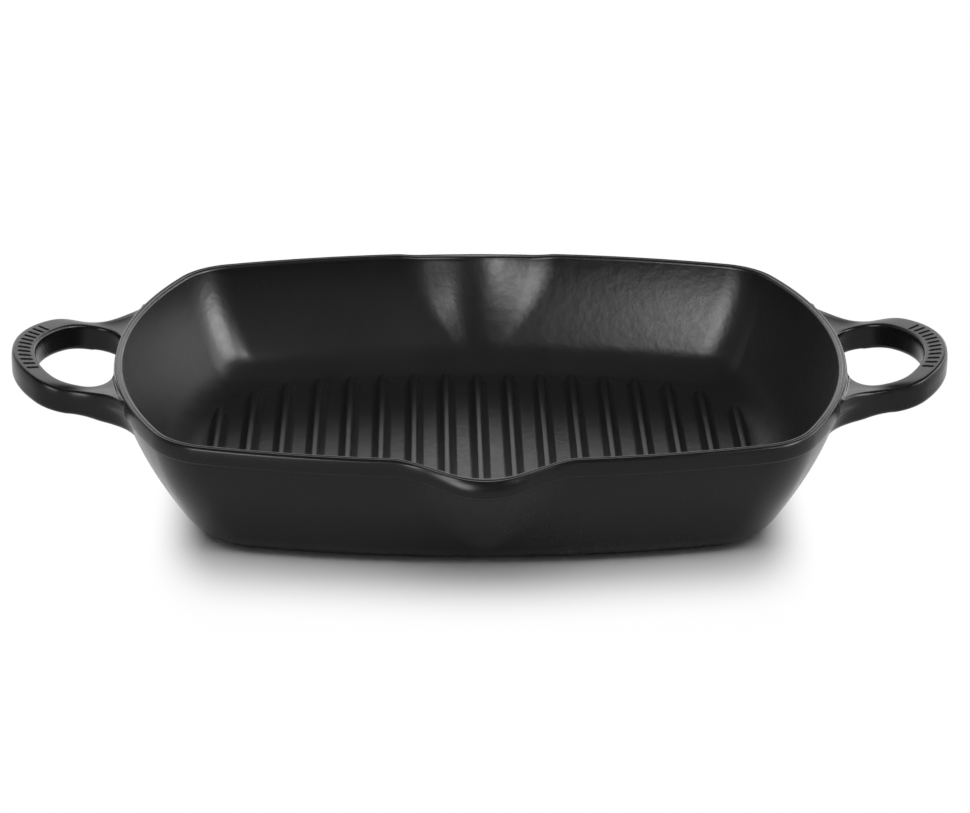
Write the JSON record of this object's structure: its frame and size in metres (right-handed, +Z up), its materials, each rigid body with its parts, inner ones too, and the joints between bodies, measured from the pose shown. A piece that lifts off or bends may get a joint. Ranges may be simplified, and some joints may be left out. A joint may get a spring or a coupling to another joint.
{
  "type": "grill pan",
  "caption": "Deep rectangular grill pan in black enamelled cast iron, with a ribbed floor, flared walls, a pouring spout on each long side and a loop handle on each short side.",
  "frame": {"origin": "on the resting surface, under the middle of the pan", "axes": "+X along the length, through the right handle; +Y to the back long side; +Z up, out of the pan's mouth"},
  "size_m": [0.4158, 0.261, 0.0608],
  "materials": {
    "gloss_enamel": "glossy black vitreous enamel on cast iron",
    "satin_enamel": "satin black vitreous enamel on cast iron"
  },
  "bodies": {
    "root": {"base_floor": "satin_enamel", "grill_rib_01": "satin_enamel", "grill_rib_02": "satin_enamel", "grill_rib_03": "satin_enamel", "grill_rib_04": "satin_enamel", "grill_rib_05": "satin_enamel", "grill_rib_06": "satin_enamel", "grill_rib_07": "satin_enamel", "grill_rib_08": "satin_enamel", "grill_rib_09": "satin_enamel", "grill_rib_10": "satin_enamel", "grill_rib_11": "satin_enamel", "grill_rib_12": "satin_enamel", "grill_rib_13": "satin_enamel", "grill_rib_14": "satin_enamel", "grill_rib_15": "satin_enamel", "grill_rib_16": "satin_enamel", "grill_rib_17": "satin_enamel", "side_wall": "gloss_enamel", "rim_band_left": "gloss_enamel", "rim_band_right": "gloss_enamel", "pour_spout_front": "gloss_enamel", "pour_spout_back": "gloss_enamel", "handle_left": "gloss_enamel", "handle_right": "gloss_enamel", "grip_ridges_left": "gloss_enamel", "grip_ridges_right": "gloss_enamel"}
  },
  "joints": []
}
